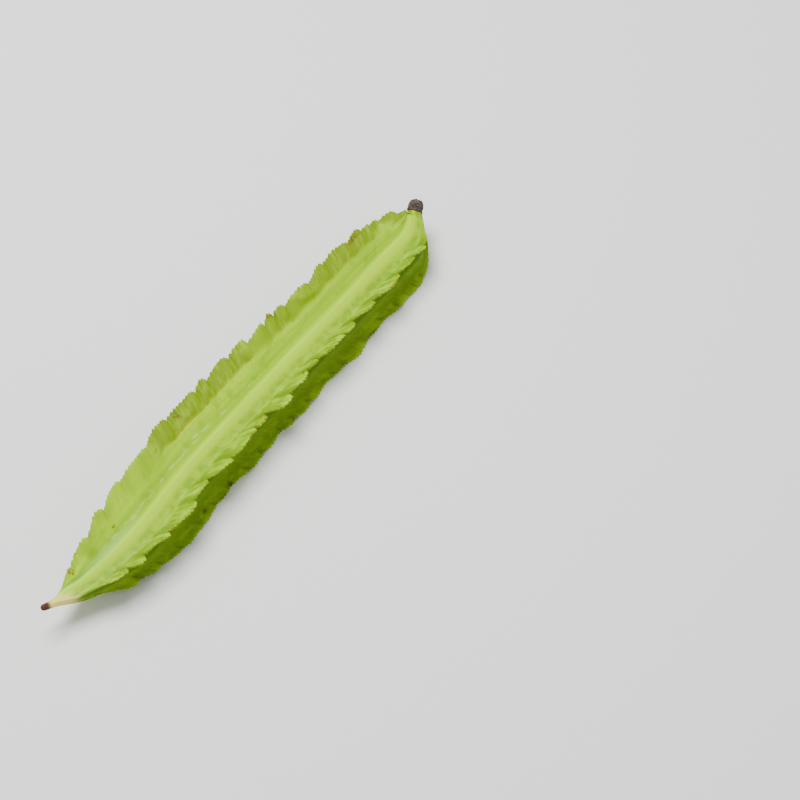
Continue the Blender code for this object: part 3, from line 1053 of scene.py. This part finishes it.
@dataclass
class PodSkin:
    """The green pod in one skin, with its teeth, pleats, veins and brown marks."""

    form: PodForm = field(default_factory=PodForm)
    finish: SkinFinish = field(default_factory=SkinFinish)
    wings: tuple[Wing, ...] = WINGS
    marks: tuple[Mark, ...] = MARKS
    shades: tuple[Mark, ...] = SHADES
    tooth_parts: tuple[float, ...] = (0.0, 0.125, 0.25, 0.375, 0.5, 0.625, 0.75, 0.875)
    beak_stations: tuple[float, ...] = (
        0.00020, 0.00035, 0.0006, 0.0010, 0.0015, 0.0021, 0.0028, 0.0036,
        0.0044, 0.0052, 0.0060, 0.0068, 0.0076, 0.0084, 0.0091,
    )
    neck_stations: tuple[float, ...] = (
        0.0041, 0.0037, 0.0033, 0.0029, 0.0025, 0.0020, 0.0015, 0.0010, 0.0006, 0.0003, 0.0,
    )
    blade_steps: tuple[float, ...] = (
        0.12, 0.22, 0.32, 0.42, 0.51, 0.60, 0.68, 0.75, 0.81, 0.865, 0.91, 0.945, 0.97, 0.988, 1.0,
    )
    frame_steps: tuple[float, ...] = (0.0, 0.30, 0.62, 0.86, 1.0)
    ridge_half: float = 0.0015
    margin_inset: float = 0.00022
    round_inset: float = 0.00005
    fine_margin: float = 0.00080
    edge_start: float = 0.93
    edge_least: float = 0.20
    pleat_depth: float = 0.00026
    pleat_pitch: float = 0.0021
    pleat_lean: float = 0.0075
    notch_depth: float = 0.00022
    notch_pitch: float = 0.0008
    notch_start: tuple[float, float] = (1.82, 2.0)
    pleat_across: float = 1.3
    pleat_detail: float = 1.5
    pleat_gain: float = 2.6
    pleat_start: tuple[float, float] = (1.12, 1.75)
    pleat_end: tuple[float, float] = (2.25, 1.98)
    beak_free: tuple[float, float] = (0.012, 0.030)
    floor_free: tuple[float, float] = (0.0004, 0.0022)
    wing_step: float = 17.3
    seed: int = 7

    def __post_init__(self) -> None:
        """Prepare the shape and the running stations."""
        self.shape = PodShape(self.form)
        form = self.form
        pitch = (form.teeth_end - form.teeth_start) / form.teeth
        counts = [tooth + part for tooth in range(form.teeth) for part in self.tooth_parts]
        counts.append(float(form.teeth))
        toothed = [form.teeth_start + pitch * count for count in counts]
        necks = [form.length - gap for gap in self.neck_stations]
        self.s = np.array([*self.beak_stations, *toothed, *necks])
        self.count = np.clip((self.s - form.teeth_start) / pitch, 0.0, form.teeth)

    def blade(self, index: int, margin: Margin, q: float, face: Face) -> Rail:
        """One rail on a wing's blade.

        Args:
            index: The wing's place in the list of wings.
            margin: The wing's margin.
            q: 0 at the blade's root and 1 at its margin.
            face: The face that the rail is on.

        Returns:
            The rail.
        """
        form, shape, wing, s = self.form, self.shape, self.wings[index], self.s
        side, level = wing.side.value, wing.level.value
        lean = form.lean * ramp(s, *form.lean_start) * ramp(form.length - s, *form.lean_end)
        drawn = lean + margin.shift(self.count)
        at_margin = s + drawn
        at_rail = s + drawn * q ** form.lean_power
        root = np.array([form.root_out, form.root_height]) * shape.body_scale(s)[:, None]
        tip = np.array([wing.out, wing.height]) * shape.wing_scale(wing, at_margin)[:, None]
        tip = np.maximum(tip, form.shortest_blade * root)
        chord = tip - root
        length = np.linalg.norm(chord, axis=1)
        along = chord / length[:, None]
        normal = np.stack([-along[:, 1], along[:, 0]], axis=1)

        grown = np.clip(length / form.grown_length, 0.0, 1.0)
        extra = margin.reach(self.count) - self.margin_inset
        if wing.level is Level.LOWER:
            for place in form.rest_places:
                extra = extra + form.rest_reach * np.exp(-(((at_margin - place) / form.rest_span) ** 2))
        extra = extra * q * q * grown
        bent = math.radians(wing.droop)
        outward = along * math.cos(bent) - normal * math.sin(bent)
        across = along * math.sin(bent * q) + normal * math.cos(bent * q)
        wave = sum(
            depth * np.sin(2.0 * math.pi * at_rail / pitch + wing.phase)
            for pitch, depth in form.ruffles
        )
        past_fold = max(q - form.fold_start, 0.0) / (1.0 - form.fold_start)
        folded = shape.folded(wing, at_rail)
        fold = form.fold_depth * past_fold * past_fold * folded
        past_curl = max(q - form.curl_start, 0.0) / (1.0 - form.curl_start)
        curl = wing.curl * past_curl * past_curl
        bend = grown * (q * q * wave + q ** form.lobe_lift_power * margin.lift(self.count) - fold - curl)
        lift = 4.0 * wing.flare * grown * q * (1.0 - q) + bend
        spread = form.margin_thickness + (form.root_thickness - form.margin_thickness) * (1.0 - q) ** 2
        spread -= (form.margin_thickness - self.fine_margin) * q * q
        if q > self.edge_start:
            past_edge = (q - self.edge_start) / (1.0 - self.edge_start)
            spread *= max(math.sqrt(1.0 - past_edge * past_edge), self.edge_least)
        way = 1.0 if face is Face.BROAD else -1.0
        half = way * 0.5 * spread * np.clip(length / form.thin_length, form.thinnest, 1.0)
        place = root + q * chord + outward * extra[:, None]
        place += normal * lift[:, None] + across * half[:, None]
        flip = np.array([side, level])
        turn = 1.0 + float(np.interp(q, self.frame_steps, range(len(self.frame_steps))))
        turn = turn if face is Face.BROAD else QUARTER + 1.0 - turn
        return Rail(
            at_rail, side * place[:, 0], level * place[:, 1], turn, 1.0 + q, face.value, index,
            across * flip, outward * flip, folded * grown,
            np.linalg.norm(q * chord + outward * extra[:, None], axis=1),
            np.clip(margin.lobe(self.count)[1], 0.0, 1.0),
        )

    def body_rail(self, index: int, face: Face, turn: float, out: float, side: float, up: float) -> Rail:
        """One rail on the body between the wings.

        Args:
            index: The quarter's wing.
            face: Broad for the ridge and its grooves, flank for the crease.
            turn: Its place round the quarter.
            out: Its place between the ridge or crease and the blade.
            side: Its distance from the middle at full size.
            up: Its height at full size.

        Returns:
            The rail.
        """
        scale = self.shape.body_scale(self.s)
        flat, none = np.zeros((len(self.s), 2)), np.zeros_like(self.s)
        wing = self.wings[index]
        return Rail(
            self.s, wing.side.value * side * scale, wing.level.value * up * scale, turn, out,
            face.value, index, flat, flat, none, none, none,
        )

    @staticmethod
    def between(before: Rail, first: Rail, second: Rail, after: Rail, count: int) -> list[Rail]:
        """Rails on a smooth curve between two others.

        Args:
            before: The rail before the first.
            first: The rail that the curve leaves.
            second: The rail that it reaches.
            after: The rail after the second.
            count: How many rails to make.

        Returns:
            The new rails, in order.
        """
        made = []
        for step in range(1, count + 1):
            t = step / (count + 1)
            weights = (
                0.5 * (-t + 2.0 * t * t - t ** 3), 0.5 * (2.0 - 5.0 * t * t + 3.0 * t ** 3),
                0.5 * (t + 4.0 * t * t - 3.0 * t ** 3), 0.5 * (t ** 3 - t * t),
            )
            chain = (before, first, second, after)
            values = {
                name: sum(weight * getattr(rail, name) for weight, rail in zip(weights, chain))
                for name in ("along", "side", "up")
            }
            level = {
                name: (1.0 - t) * getattr(first, name) + t * getattr(second, name)
                for name in ("turn", "out", "face", "normal", "outward", "fold", "far", "risen")
            }
            made.append(Rail(wing=first.wing, **values, **level))
        return made

    def quarter(self, index: int) -> list[Rail]:
        """Rails from the ridge over one wing to the crease.

        Args:
            index: The wing's place in the list of wings.

        Returns:
            The rails, with the ridge first and the crease last.
        """
        form, margin = self.form, Margin(self.form, self.wings[index])
        brow_up = 0.5 * (form.ridge_height + form.groove_height)
        ridge = self.body_rail(index, Face.BROAD, turn=0.0, out=0.0, side=0.0, up=form.ridge_height)
        brow = self.body_rail(index, Face.BROAD, turn=0.55, out=0.30, side=self.ridge_half, up=brow_up)
        far_brow = self.body_rail(index, Face.BROAD, turn=0.0, out=0.0, side=-self.ridge_half, up=brow_up)
        groove = self.body_rail(
            index, Face.BROAD, turn=1.0, out=0.5, side=form.groove_out, up=form.groove_height
        )
        crease = self.body_rail(index, Face.FLANK, turn=QUARTER, out=0.0, side=form.crease_out, up=0.0)
        broad = [self.blade(index, margin, q, Face.BROAD) for q in self.blade_steps]
        flank = [self.blade(index, margin, q, Face.FLANK) for q in self.blade_steps[::-1]]
        mirrored = Rail(**{**vars(flank[-1]), "up": -flank[-1].up})
        return [
            ridge, *self.between(far_brow, ridge, brow, groove, 1),
            brow, *self.between(ridge, brow, groove, broad[0], 1),
            groove, *self.between(brow, groove, broad[0], broad[1], 2),
            *broad, *flank, *self.between(flank[-2], flank[-1], crease, mirrored, 2), crease,
        ]

    def section(self) -> list[Rail]:
        """Put the four quarters together.

        Returns:
            All rails in order round the section, each ridge and crease once.
        """
        rails = []
        for index in range(len(self.wings)):
            part = self.quarter(index)
            if index % 2:
                part = part[::-1]
            for rail in part[:-1]:
                turn = rail.turn if index % 2 == 0 else -rail.turn
                rail.turn = (QUARTER * (index + index % 2) + turn) / (QUARTER * len(self.wings))
                rails.append(rail)
        return rails

    def points(self, rails: list[Rail]) -> tuple[np.ndarray, np.ndarray, np.ndarray]:
        """Bend the rails round the centre line and rest the lower wings on the floor.

        Args:
            rails: The rails in order round the section.

        Returns:
            Points, blade normals and outward directions, by rail and station.
        """
        places, normals, outwards = [], [], []
        for rail in rails:
            angle = 0.5 * math.pi - 2.0 * math.pi * rail.turn
            turned = self.shape.roundness(rail.along)
            radius = self.shape.round_radius(rail.along) - self.round_inset
            side = (1.0 - turned) * rail.side + turned * radius * math.cos(angle)
            up = (1.0 - turned) * rail.up + turned * radius * math.sin(angle)
            centre, _, across, above = self.shape.axes(rail.along)
            places.append(centre + across * side[:, None] + above * up[:, None])
            for kept, flat in ((normals, rail.normal), (outwards, rail.outward)):
                kept.append(across * flat[:, :1] + above * flat[:, 1:])
        points = np.stack(places)
        self.press_on_floor(points)
        return points, np.stack(normals), np.stack(outwards)

    def press_on_floor(self, points: np.ndarray) -> None:
        """Bend the lower wings up where they would pass below the floor.

        Args:
            points: Points by rail and station, changed in place.
        """
        quarter = points.shape[0] // len(self.wings)
        steps = len(self.blade_steps)
        first = quarter - 2 * steps - 2  # the blade's first rail, counted from the ridge
        for start in (2 * quarter - first - 2 * steps + 1, 2 * quarter + first):
            for step in range(steps):
                pair = [start + step, start + 2 * steps - 1 - step]  # both faces of one step
                short = -self.form.rest_drop - points[pair, :, 2].min(axis=0)
                points[pair, :, 2] += np.maximum(short, 0.0)

    def mark_values(self, rails: list[Rail], marks: tuple[Mark, ...]) -> np.ndarray:
        """Strength of a set of marks.

        Args:
            rails: The rails in order round the section.
            marks: The marks.

        Returns:
            0 to 1 for each rail and station.
        """
        rows = []
        for rail in rails:
            row = np.zeros_like(rail.along)
            for mark in marks:
                if self.wings[rail.wing].name != mark.wing:
                    continue
                ahead, aside = (rail.along - mark.along) / mark.long, (rail.out - mark.out) / mark.wide
                row = np.maximum(row, mark.strength * np.exp(-(ahead ** 2) - aside ** 2))
            rows.append(row)
        return np.stack(rows)

    def loft(self) -> bpy.types.Object:
        """Join the rails to a closed skin that carries the pattern's attributes.

        Returns:
            The skin before its pleats.
        """
        rails = self.section()
        points, normals, outwards = self.points(rails)
        ends = self.shape.axes(np.array([0.0, self.form.length]))[0]
        home = np.array(self.form.home)
        points = points - home
        rows, stations, _ = points.shape
        grid = np.arange(rows * stations).reshape(rows, stations)
        here, beside = grid, np.roll(grid, -1, axis=0)
        quads = np.stack([here[:, :-1], here[:, 1:], beside[:, 1:], beside[:, :-1]], axis=-1)
        quads = quads.reshape(-1, 4)[:, ::-1]
        hubs = rows * stations + np.arange(2)
        first_fan = [(int(hubs[0]), int(beside[row, 0]), int(here[row, 0])) for row in range(rows)]
        last_fan = [(int(hubs[1]), int(here[row, -1]), int(beside[row, -1])) for row in range(rows)]
        vertices = np.concatenate([points.reshape(-1, 3), ends - home])
        mesh = bpy.data.meshes.new("pod_skin")
        faces = [tuple(face) for face in quads.tolist()]
        mesh.from_pydata(vertices.tolist(), [], faces + first_fan[::-1] + last_fan[::-1])
        mesh.validate()

        still = np.ones(stations)
        for name in ("along", "out", "wing", "fold", "far", "risen"):
            self.store(mesh, name, np.stack([getattr(rail, name) * still for rail in rails]))
        self.store(mesh, "flank", np.stack([rail.face * still for rail in rails]))
        self.store(mesh, "pleats", np.stack([self.wings[rail.wing].pleats * still for rail in rails]))
        self.store(mesh, "mark", self.mark_values(rails, self.marks))
        self.store(mesh, "shade", self.mark_values(rails, self.shades))
        self.store(mesh, "blade_normal", normals)
        self.store(mesh, "blade_out", outwards)
        return place_new("pod_skin", mesh)

    @staticmethod
    def store(mesh: bpy.types.Mesh, name: str, values: np.ndarray) -> None:
        """Store numbers or vectors by rail and station, and the end values on the two hubs.

        Args:
            mesh: The skin's mesh.
            name: The attribute's name.
            values: Numbers or vectors by rail and station.
        """
        vector = values.ndim == 3
        kind = "FLOAT_VECTOR" if vector else "FLOAT"
        hubs = np.stack([values[0, 0], values[0, -1]])
        flat = values.reshape(-1, 3) if vector else values.reshape(-1)
        everything = np.concatenate([flat, hubs]).astype(np.float32)
        attribute = mesh.attributes.new(name, kind, "POINT")
        attribute.data.foreach_set("vector" if vector else "value", everything.ravel())

    def relief(self) -> Relief:
        """Tree that pleats the wings and notches their margins.

        Returns:
            The tree.
        """
        sizes = {
            "Pleat Depth": self.pleat_depth, "Pleat Pitch": self.pleat_pitch,
            "Pleat Lean": self.pleat_lean, "Notch Depth": self.notch_depth,
            "Notch Pitch": self.notch_pitch, "Seed": self.seed,
        }
        tree = Relief("pod_relief", sizes)
        given = tree.given
        along, out, wing = (tree.attribute(name) for name in ("along", "out", "wing"))
        times = tree.product
        seeded = tree.math("MULTIPLY_ADD", wing, self.wing_step, given["Seed"])
        reach = tree.math("MAXIMUM", tree.math("SUBTRACT", out, 1.0), 0.0)
        leant = tree.math("SUBTRACT", along, times(reach, given["Pleat Lean"]))
        across = tree.math("DIVIDE", leant, given["Pleat Pitch"])
        spot = tree.combine(across, times(out, self.pleat_across), seeded)
        pleat = tree.math("SUBTRACT", tree.noise(spot, 1.0, self.pleat_detail), 0.5)
        height = tree.add("ShaderNodeSeparateXYZ", {0: tree.add("GeometryNodeInputPosition").outputs[0]})
        mask = times(
            tree.rise(out, *self.pleat_start), tree.rise(out, *self.pleat_end),
            tree.rise(along, *self.beak_free), tree.rise(height.outputs[2], *self.floor_free),
            tree.attribute("pleats"),
        )
        lift = times(pleat, given["Pleat Depth"], self.pleat_gain, mask)
        keep = {"Geometry": given["Geometry"], "Name": "pleat", "Value": pleat}
        stored = tree.add("GeometryNodeStoreNamedAttribute", keep, data_type="FLOAT", domain="POINT")
        pleated = tree.push(stored.outputs[0], tree.attribute("blade_normal", "FLOAT_VECTOR"), lift)

        edge = tree.combine(tree.math("DIVIDE", along, given["Notch Pitch"]), 0.0, seeded)
        at_edge = tree.rise(out, *self.notch_start)
        bite = times(tree.noise(edge, 1.0, 1.0), at_edge, given["Notch Depth"], -1.0)
        bitten = tree.push(pleated, tree.attribute("blade_out", "FLOAT_VECTOR"), bite)
        smooth = tree.add("GeometryNodeSetShadeSmooth", {"Geometry": bitten})
        tree.close(smooth.outputs[0])
        return tree

    def material(self) -> bpy.types.Material:
        """Fresh skin with a soft wax gloss and fine veins.

        Returns:
            The material.
        """
        finish = self.finish
        material, graph, shader = new_material(finish.name)
        paint = SkinPaint(graph, finish, self.form.length, self.pleat_lean)
        least = finish.roughness - 0.5 * finish.roughness_spread
        gloss = graph.math("MULTIPLY_ADD", paint.values["gloss"], finish.roughness_spread, least)
        shader.inputs["Specular IOR Level"].default_value = finish.specular
        shader.inputs["Subsurface Weight"].default_value = finish.subsurface
        shader.inputs["Subsurface Radius"].default_value = finish.subsurface_radius
        shader.inputs["Subsurface Scale"].default_value = finish.subsurface_depth
        bump = graph.add("ShaderNodeBump", {
            "Height": paint.height(), "Strength": finish.bump_strength, "Distance": finish.bump_depth,
        })
        sockets = {"Base Color": paint.colour(), "Roughness": gloss, "Normal": bump.outputs[0]}
        for name, socket in sockets.items():
            graph.tree.links.new(socket, shader.inputs[name])
        return material

    def build(self) -> bpy.types.Object:
        """Loft the skin, pleat it and dress it.

        Returns:
            The finished piece.
        """
        piece = self.loft()
        self.relief().bake(piece, self.material())
        return piece


@dataclass
class Calyx:
    """The dry calyx: a crumpled brown knob with a lobed rim and shreds of dry tissue."""

    finish: CalyxFinish = field(default_factory=CalyxFinish)
    profile: tuple[tuple[float, float], ...] = (
        (0.00060, 0.0008), (0.00050, 0.0018), (0.00020, 0.00225), (-0.00040, 0.00252),
        (-0.00050, 0.00264), (-0.00030, 0.00270), (0.00020, 0.00264), (0.00080, 0.00260),
        (0.00140, 0.00256), (0.00200, 0.00250), (0.00250, 0.00238), (0.00300, 0.00212),
        (0.00340, 0.00176), (0.00362, 0.00138), (0.00376, 0.00092), (0.00383, 0.00044),
    )
    top: float = 0.00386
    sides: int = 60
    lobes: int = 5
    lobe_depth: float = 0.05
    crumple: float = 0.00034
    crumple_scale: float = 900.0
    shred_count: float = 2.4e6
    shred_length: float = 0.00095
    shred_width: float = 0.00034
    shred_sides: int = 5
    shred_start: float = -0.00042
    shred_least: float = 0.5
    turn_least: tuple[float, float, float] = (1.15, -0.25, 0.0)
    turn_most: tuple[float, float, float] = (1.50, 0.25, 6.28)
    seed: int = 5
    size_seed: int = 3

    def dome(self, shape: PodShape) -> bpy.types.Object:
        """Turn the knob's profile round the neck's end.

        Args:
            shape: The pod's shape, for the neck's end and direction.

        Returns:
            The plain dome.
        """
        end = np.array([shape.form.length])
        centre, ahead, across, above = (value[0] for value in shape.axes(end))
        rows = []
        for index in range(self.sides):
            angle = 2.0 * math.pi * index / self.sides
            outward = across * math.cos(angle) + above * math.sin(angle)
            for along, radius in self.profile:
                swell = self.lobe_depth * max(math.sin(math.pi * along / self.top), 0.0)
                lobed = radius * (1.0 + swell * (math.cos(self.lobes * angle) - 1.0) * 0.5)
                rows.append(centre + ahead * along + outward * lobed)
        rows.append(centre + ahead * self.profile[0][0])
        rows.append(centre + ahead * self.top)
        points = np.array(rows) - shape.form.home
        rings = len(self.profile)
        faces = []
        for index in range(self.sides):
            here, beside = index * rings, (index + 1) % self.sides * rings
            for ring in range(rings - 1):
                faces.append((here + ring, beside + ring, beside + ring + 1, here + ring + 1))
            faces.append((len(rows) - 2, beside, here))
            faces.append((len(rows) - 1, here + rings - 1, beside + rings - 1))
        mesh = bpy.data.meshes.new("calyx_knob")
        mesh.from_pydata(points.tolist(), [], faces)
        mesh.validate()
        seat = mesh.attributes.new("from_seat", "FLOAT", "POINT")
        heights = [along for _ in range(self.sides) for along, _ in self.profile]
        seat.data.foreach_set("value", [*heights, self.profile[0][0], self.top])
        return place_new("calyx_knob", mesh)

    def tissue(self) -> Relief:
        """Tree that crumples the knob and sets shreds of dry tissue on it.

        Returns:
            The tree.
        """
        sizes = {
            "Crumple": self.crumple, "Crumple Scale": self.crumple_scale,
            "Shreds": self.shred_count, "Shred Length": self.shred_length,
            "Shred Width": self.shred_width, "Seed": self.seed,
        }
        tree = Relief("calyx_tissue", sizes)
        given = tree.given
        place = tree.add("GeometryNodeInputPosition").outputs[0]
        normal = tree.add("GeometryNodeInputNormal").outputs[0]
        noise = tree.add(
            "ShaderNodeTexNoise", {"Vector": place, "Scale": given["Crumple Scale"], "Detail": 3.0}
        ).outputs[0]
        inward = tree.product(noise, given["Crumple"], -1.0)
        knob = tree.push(given["Geometry"], normal, inward)
        seat = tree.attribute("from_seat")
        outside = tree.math("GREATER_THAN", seat, self.shred_start)
        inputs = {"Mesh": knob, "Selection": outside, "Density": given["Shreds"], "Seed": given["Seed"]}
        spread = tree.add("GeometryNodeDistributePointsOnFaces", inputs)
        shred = tree.add("GeometryNodeMeshCone", {
            "Vertices": self.shred_sides, "Side Segments": 1, "Radius Top": 0.0,
            "Radius Bottom": 1.0, "Depth": 1.0,
        }, fill_type="NGON")
        random_turn = tree.add("FunctionNodeRandomValue", {
            "Min": self.turn_least, "Max": self.turn_most, "Seed": given["Seed"],
        }, data_type="FLOAT_VECTOR")
        turned = tree.add("FunctionNodeRotateEuler", {
            "Rotation": spread.outputs["Rotation"], "Rotate By": random_turn.outputs[0],
        }, space="LOCAL")
        size = tree.combine(given["Shred Width"], given["Shred Width"], given["Shred Length"])
        inputs = {"Min": self.shred_least, "Max": 1.0, "Seed": self.size_seed}
        vary = tree.add("FunctionNodeRandomValue", inputs, data_type="FLOAT")
        scale = tree.add("ShaderNodeVectorMath", {0: size, "Scale": vary.outputs[1]}, operation="SCALE")
        inputs = {
            "Points": spread.outputs["Points"], "Instance": shred.outputs[0],
            "Rotation": turned.outputs[0], "Scale": scale.outputs[0],
        }
        shreds = tree.add("GeometryNodeInstanceOnPoints", inputs).outputs[0]
        smooth = tree.add("GeometryNodeSetShadeSmooth", {"Geometry": knob}).outputs[0]
        joined = tree.add("GeometryNodeJoinGeometry")
        for part in (shreds, smooth):
            tree.tree.links.new(part, joined.inputs[0])
        tree.close(joined.outputs[0])
        return tree

    def material(self) -> bpy.types.Material:
        """Dry brown tissue, patchy and matt.

        Returns:
            The material.
        """
        finish = self.finish
        material, graph, shader = new_material(finish.name)
        place = graph.add("ShaderNodeTexCoord").outputs["Object"]
        patches = graph.rise(graph.noise(place, finish.patch_scale, 3.0), *finish.patch_edges)
        flecks = graph.rise(graph.noise(place, finish.fleck_scale, 2.0), *finish.fleck_edges)
        colour = graph.mix(flecks, graph.mix(patches, finish.dark, finish.body), finish.light)
        material.node_tree.links.new(colour, shader.inputs["Base Color"])
        shader.inputs["Roughness"].default_value = finish.roughness
        bump = graph.add("ShaderNodeBump", {
            "Height": graph.noise(place, finish.grain_scale, 2.0), "Strength": finish.bump_strength,
            "Distance": finish.bump_depth,
        })
        material.node_tree.links.new(bump.outputs[0], shader.inputs["Normal"])
        return material

    def build(self, shape: PodShape) -> bpy.types.Object:
        """Make the knob, crumple it and dress it.

        Args:
            shape: The pod's shape.

        Returns:
            The finished piece.
        """
        piece = self.dome(shape)
        self.tissue().bake(piece, self.material())
        return piece


@dataclass
class Studio:
    """Plain pale floor, soft light and the camera at the photograph's angle."""

    floor_finish: FloorFinish = field(default_factory=FloorFinish)
    floor_half: float = 4.0
    azimuth: float = -51.4217
    elevation: float = 60.0
    distance: float = 0.80606
    aim_right: float = 0.050169
    aim_up: float = 0.007019
    focal_pixels: float = 2433.0
    frame_pixels: float = 800.0
    sensor: float = 36.0
    key_power: float = 14.2
    key_size: float = 0.45
    key_distance: float = 0.95
    key_right: float = -0.18
    key_ahead: float = 0.22
    sky: float = 0.52

    def axes(self) -> tuple[np.ndarray, np.ndarray, np.ndarray]:
        """Directions of the camera at the photograph's angle.

        Returns:
            Its right, up and back directions.
        """
        turn, tilt = math.radians(self.azimuth), math.radians(self.elevation)
        right = np.array([math.cos(turn), math.sin(turn), 0.0])
        level = math.cos(tilt)
        back = np.array([math.sin(turn) * level, -math.cos(turn) * level, math.sin(tilt)])
        return right, np.cross(back, right), back

    @staticmethod
    def stand(data: bpy.types.ID, axes: tuple[np.ndarray, ...], point: np.ndarray) -> bpy.types.Object:
        """Put a camera or a lamp in its place.

        Args:
            data: The camera or lamp.
            axes: Its right, up and back directions.
            point: Its place.

        Returns:
            The new object.
        """
        place = np.eye(4)
        place[:3, :3], place[:3, 3] = np.stack(axes, axis=1), point
        piece = place_new(data.name, data)
        piece.matrix_world = Matrix(place.tolist())
        return piece

    def camera(self) -> None:
        """Stand the camera at the photograph's viewing angle."""
        right, up, back = self.axes()
        data = bpy.data.cameras.new("photo_camera")
        data.sensor_width = self.sensor
        data.lens = self.focal_pixels / self.frame_pixels * self.sensor
        data.clip_start, data.clip_end = 0.01, 20.0
        point = back * self.distance + right * self.aim_right + up * self.aim_up
        bpy.context.scene.camera = self.stand(data, (right, up, back), point)

    def key(self) -> None:
        """Hang one soft lamp above the pod, a little to the upper left of the picture."""
        right, up, _ = self.axes()
        ahead = np.array([up[0], up[1], 0.0])
        ahead /= np.linalg.norm(ahead)
        direction = self.key_right * right + self.key_ahead * ahead + np.array([0.0, 0.0, 1.0])
        direction /= np.linalg.norm(direction)
        data = bpy.data.lights.new("key", "AREA")
        data.energy, data.size = self.key_power, self.key_size
        side = np.cross([0.0, 0.0, 1.0], direction)
        side /= np.linalg.norm(side)
        axes = (side, np.cross(direction, side), direction)
        self.stand(data, axes, direction * self.key_distance)

    def pale_sky(self) -> None:
        """Fill the room with even pale light."""
        world = bpy.data.worlds.new("pale_sky")
        world.use_nodes = True
        background = world.node_tree.nodes["Background"]
        background.inputs["Color"].default_value = (1.0, 1.0, 1.0, 1.0)
        background.inputs["Strength"].default_value = self.sky
        bpy.context.scene.world = world

    def floor(self) -> bpy.types.Object:
        """Lay the plain floor that the pod rests on.

        Returns:
            The floor.
        """
        half = self.floor_half
        corners = [(-half, -half, 0.0), (half, -half, 0.0), (half, half, 0.0), (-half, half, 0.0)]
        mesh = bpy.data.meshes.new("floor")
        mesh.from_pydata(corners, [], [(0, 1, 2, 3)])
        material, _, shader = new_material(self.floor_finish.name)
        shader.inputs["Base Color"].default_value = self.floor_finish.colour
        shader.inputs["Roughness"].default_value = self.floor_finish.roughness
        mesh.materials.append(material)
        return place_new("floor", mesh)


def main() -> None:
    """Build the pod, its calyx and the studio, attach each piece to the root body and hide the frame's
    parts.
    """
    logging.basicConfig(level=logging.INFO, format="%(name)s: %(message)s")
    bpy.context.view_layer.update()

    pod = PodSkin()
    skin = pod.build()
    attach(skin, "root")
    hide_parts("pod")
    LOG.info("pod skin: %d faces", len(skin.data.polygons))

    knob = Calyx().build(pod.shape)
    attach(knob, "root")
    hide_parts("calyx")
    LOG.info("calyx: %d faces", len(knob.data.polygons))

    studio = Studio()
    studio.floor()
    studio.key()
    studio.pale_sky()
    studio.camera()
    LOG.info("studio: floor, light and camera")


if __name__ == "__main__":
    main()
